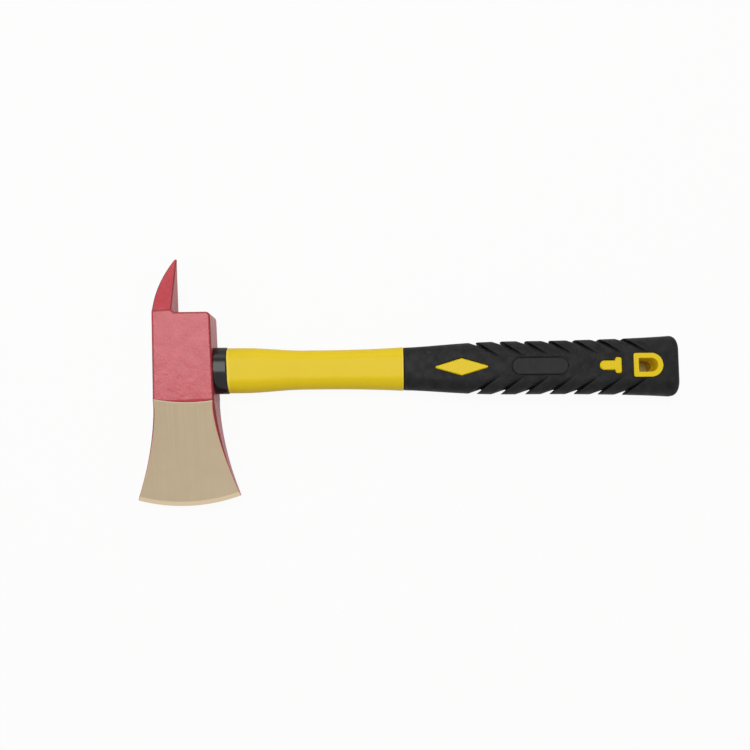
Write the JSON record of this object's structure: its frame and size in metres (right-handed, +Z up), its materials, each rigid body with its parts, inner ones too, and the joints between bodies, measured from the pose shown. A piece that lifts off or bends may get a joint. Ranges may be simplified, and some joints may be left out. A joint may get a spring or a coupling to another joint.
{
  "type": "pick-head fire axe",
  "caption": "Small pick-head fire axe: red-painted bronze head with ground flared blade, yellow handle, black notched grip with hanging eyelet.",
  "frame": {"origin": "on the surface that the axe lies on, under the crossing of the handle's axis and the head's middle line", "axes": "+X along the handle towards the butt, +Y towards the pick, +Z up through the thickness of the head"},
  "size_m": [0.3962, 0.1832, 0.028],
  "materials": {
    "bronze": "ground, fine brush marks",
    "red_paint": "glossy sprayed paint over a cast surface",
    "resin": "cured casting resin",
    "glass_fibre": "pultruded rod, sawn end",
    "collar_rubber": "smooth, slightly glossy",
    "yellow_plastic": "moulded, satin gloss",
    "grip_rubber": "fine moulded matt texture"
  },
  "bodies": {
    "root": {"head_casting": "bronze", "red_paint_coat": "red_paint", "eye_resin": "resin", "glass_fibre_core": "glass_fibre", "collar_ring": "collar_rubber", "yellow_jacket": "yellow_plastic", "rubber_grip": "grip_rubber", "hang_eyelet": "yellow_plastic", "diamond_inlay_front": "yellow_plastic", "diamond_inlay_back": "yellow_plastic", "tee_inlay_front": "yellow_plastic", "tee_inlay_back": "yellow_plastic"}
  },
  "joints": []
}
